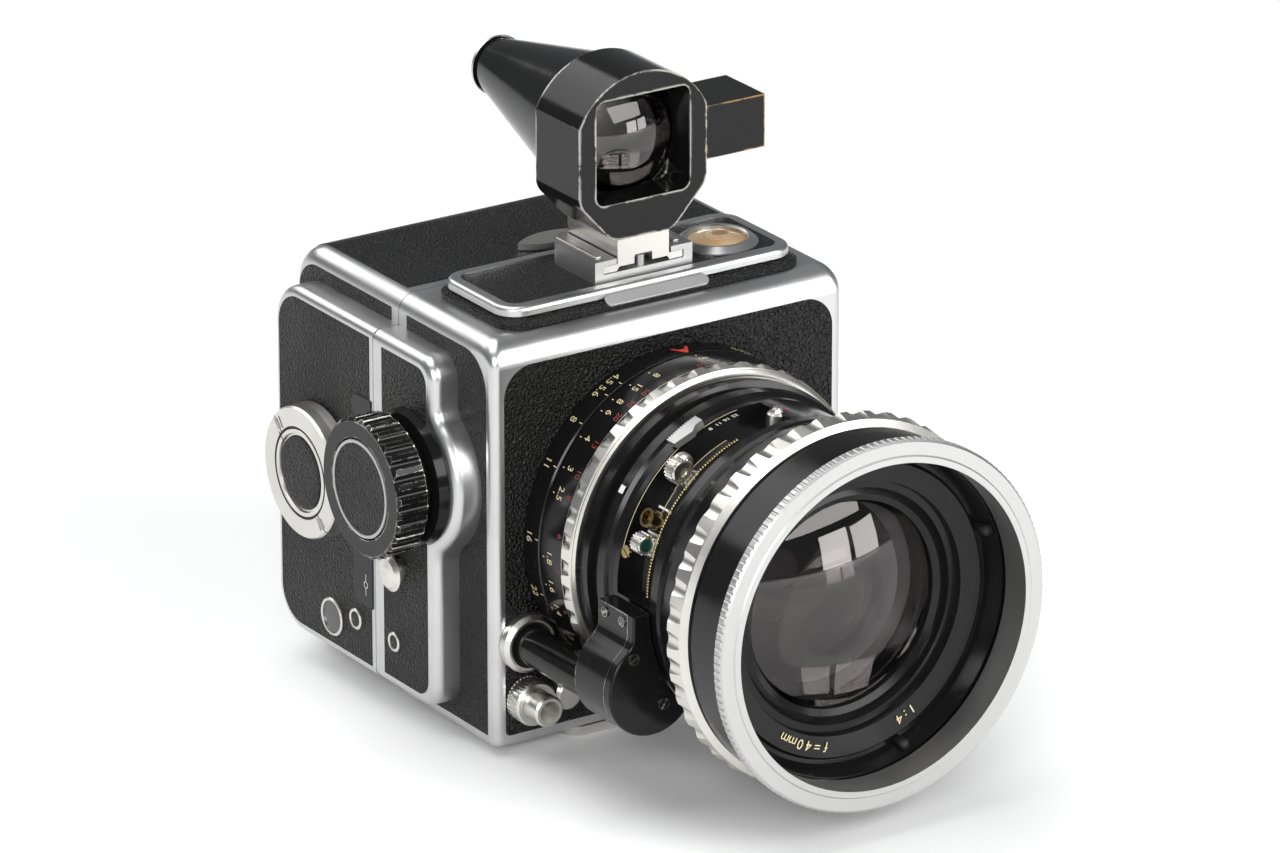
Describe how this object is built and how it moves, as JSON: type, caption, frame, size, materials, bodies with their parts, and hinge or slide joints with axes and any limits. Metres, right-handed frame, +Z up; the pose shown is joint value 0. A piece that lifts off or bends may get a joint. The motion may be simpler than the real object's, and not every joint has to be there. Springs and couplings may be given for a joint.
{
  "type": "medium format wide-angle camera",
  "caption": "Boxy chrome and leather medium-format camera with a scalloped wide-angle lens, winding knob, roll-film magazine and slide-on optical finder.",
  "frame": {"origin": "mouth of the tripod socket, in the underside of the tripod plate that the camera stands on", "axes": "+Z up, -Y the way the lens looks, +X the camera's right-hand side as seen from in front"},
  "size_m": [0.1111, 0.1478, 0.132],
  "materials": {
    "bright_metal": "cast light alloy with a satin-polished chrome finish, worn at the edges",
    "satin_chrome": "satin chrome plating",
    "steel": "ground steel",
    "blade_steel": "blackened spring steel",
    "black_leather": "pebbled black leatherette",
    "black_enamel": "gloss black enamel over brass and steel, worn at edges",
    "lens_black": "gloss black lacquer over turned aluminium",
    "matt_black": "matt black paint",
    "lens_glass": "polished coated optical glass",
    "level_amber": "amber spirit level vial",
    "brass_fitting": "turned brass",
    "spool_plastic": "moulded black plastic"
  },
  "bodies": {
    "camera_body": {"body_shell": "bright_metal", "front_leather": "black_leather", "side_leathers": "black_leather", "body_side_housing": "bright_metal", "top_cover": "bright_metal", "top_leathers": "black_leather", "level_ring": "bright_metal", "level_vial": "level_amber", "accessory_shoe": "satin_chrome", "strap_studs": "satin_chrome", "tripod_plate": "satin_chrome", "body_screws": "satin_chrome", "light_box": "matt_black", "lens_flange": "lens_black", "linkage_bush": "satin_chrome", "knob_collar": "black_enamel", "release_collar": "satin_chrome"},
    "winding_knob": {"advance_knob": "black_enamel", "knob_cap": "black_leather", "knob_shaft": "steel"},
    "winding_gear": {"transfer_gear": "steel"},
    "focus_ring": {"distance_ring": "lens_black", "focus_grip": "satin_chrome"},
    "lens_unit": {"shutter_case": "lens_black", "front_barrel": "lens_black", "name_ring": "lens_black", "front_element": "lens_glass", "middle_element": "lens_glass", "rear_element": "lens_glass", "lens_cells": "lens_black", "aperture_blades": "blade_steel", "linkage_tube": "lens_black", "linkage_bracket": "lens_black", "linkage_cover": "lens_black", "flash_socket": "brass_fitting"},
    "shutter_speed_ring": {"speed_ring": "satin_chrome"},
    "filter_rim": {"front_rim": "satin_chrome"},
    "aperture_control": {"aperture_knob": "satin_chrome"},
    "sync_control": {"sync_knob": "satin_chrome"},
    "cocking_lever": {"cocking_tab": "satin_chrome"},
    "release": {"release_button": "satin_chrome"},
    "lock": {"release_lock": "satin_chrome"},
    "finder": {"finder_hood": "black_enamel", "finder_cone": "black_enamel", "finder_foot": "satin_chrome", "finder_lens": "lens_glass", "finder_eyepiece": "black_enamel", "level_prism": "black_enamel"},
    "magazine": {"magazine_shell": "bright_metal", "magazine_leathers": "black_leather", "magazine_side_housing": "bright_metal", "counter_windows": "satin_chrome"},
    "latch": {"magazine_latch": "satin_chrome"},
    "crank": {"film_crank": "satin_chrome"},
    "crank_fold": {"crank_handle": "satin_chrome"},
    "insert": {"film_insert": "matt_black", "film_spools": "spool_plastic", "pressure_plate": "matt_black"},
    "key": {"insert_key": "satin_chrome"},
    "slide": {"dark_slide": "steel"}
  },
  "joints": [
    {"name": "winding_knob_turn", "type": "hinge", "parent": "camera_body", "child": "winding_knob", "pos_m": [-0.055, 0.0029, 0.0544], "axis": [1, 0, 0], "continuous": true},
    {"name": "winding_gear_turn", "type": "hinge", "parent": "camera_body", "child": "winding_gear", "pos_m": [-0.044, 0.006, 0.04034], "axis": [1, 0, 0], "continuous": true},
    {"name": "focus_turn", "type": "hinge", "parent": "camera_body", "child": "focus_ring", "pos_m": [0, -0.027, 0.044], "axis": [0, 1, 0], "range_deg": [0, 160]},
    {"name": "focus_extension", "type": "slide", "parent": "camera_body", "child": "lens_unit", "axis": [0, -1, 0], "range_m": [0, 0.0055]},
    {"name": "shutter_speed_turn", "type": "hinge", "parent": "lens_unit", "child": "shutter_speed_ring", "pos_m": [0, -0.074, 0.044], "axis": [0, 1, 0], "range_deg": [-60, 60]},
    {"name": "filter_rim_turn", "type": "hinge", "parent": "lens_unit", "child": "filter_rim", "pos_m": [0, -0.089, 0.044], "axis": [0, 1, 0], "continuous": true},
    {"name": "aperture_set", "type": "hinge", "parent": "lens_unit", "child": "aperture_control", "pos_m": [0, -0.052, 0.044], "axis": [0, -1, 0], "range_deg": [-34, 10]},
    {"name": "flash_sync_set", "type": "hinge", "parent": "lens_unit", "child": "sync_control", "pos_m": [0, -0.0516, 0.044], "axis": [0, -1, 0], "range_deg": [0, 14]},
    {"name": "shutter_cocking", "type": "hinge", "parent": "lens_unit", "child": "cocking_lever", "pos_m": [0, -0.0442, 0.044], "axis": [0, -1, 0], "range_deg": [0, 50]},
    {"name": "shutter_release", "type": "slide", "parent": "camera_body", "child": "release", "axis": [0, 1, 0], "range_m": [0, 0.003], "stiffness_N_per_m": 300},
    {"name": "release_lock_turn", "type": "hinge", "parent": "camera_body", "child": "lock", "pos_m": [-0.025, -0.018, 0.011], "axis": [0, 1, 0], "range_deg": [0, 32]},
    {"name": "finder_removal", "type": "slide", "parent": "camera_body", "child": "finder", "axis": [0, 1, 0], "range_m": [0, 0.022]},
    {"name": "magazine_removal", "type": "slide", "parent": "camera_body", "child": "magazine", "axis": [0, 1, 0], "range_m": [0, 0.03]},
    {"name": "magazine_latch_slide", "type": "slide", "parent": "magazine", "child": "latch", "axis": [1, 0, 0], "range_m": [0, 0.004]},
    {"name": "film_crank_turn", "type": "hinge", "parent": "magazine", "child": "crank", "pos_m": [-0.05, 0.037, 0.045], "axis": [1, 0, 0], "continuous": true},
    {"name": "crank_handle_fold", "type": "hinge", "parent": "crank", "child": "crank_fold", "pos_m": [-0.052, 0.03721, 0.04479], "axis": [0, 0.7071, 0.7071], "range_deg": [0, 110]},
    {"name": "film_insert_pull", "type": "slide", "parent": "magazine", "child": "insert", "axis": [1, 0, 0], "range_m": [0, 0.085]},
    {"name": "insert_key_turn", "type": "hinge", "parent": "insert", "child": "key", "pos_m": [0.041, 0.037, 0.044], "axis": [1, 0, 0], "range_deg": [0, 90]},
    {"name": "dark_slide_pull", "type": "slide", "parent": "magazine", "child": "slide", "axis": [1, 0, 0], "range_m": [0, 0.08]}
  ],
  "couplings": [
    {"joint": "winding_gear_turn", "follows": "winding_knob_turn", "ratio": -1.25},
    {"joint": "focus_turn", "follows": "focus_extension", "rad_per_m": 507.6}
  ]
}
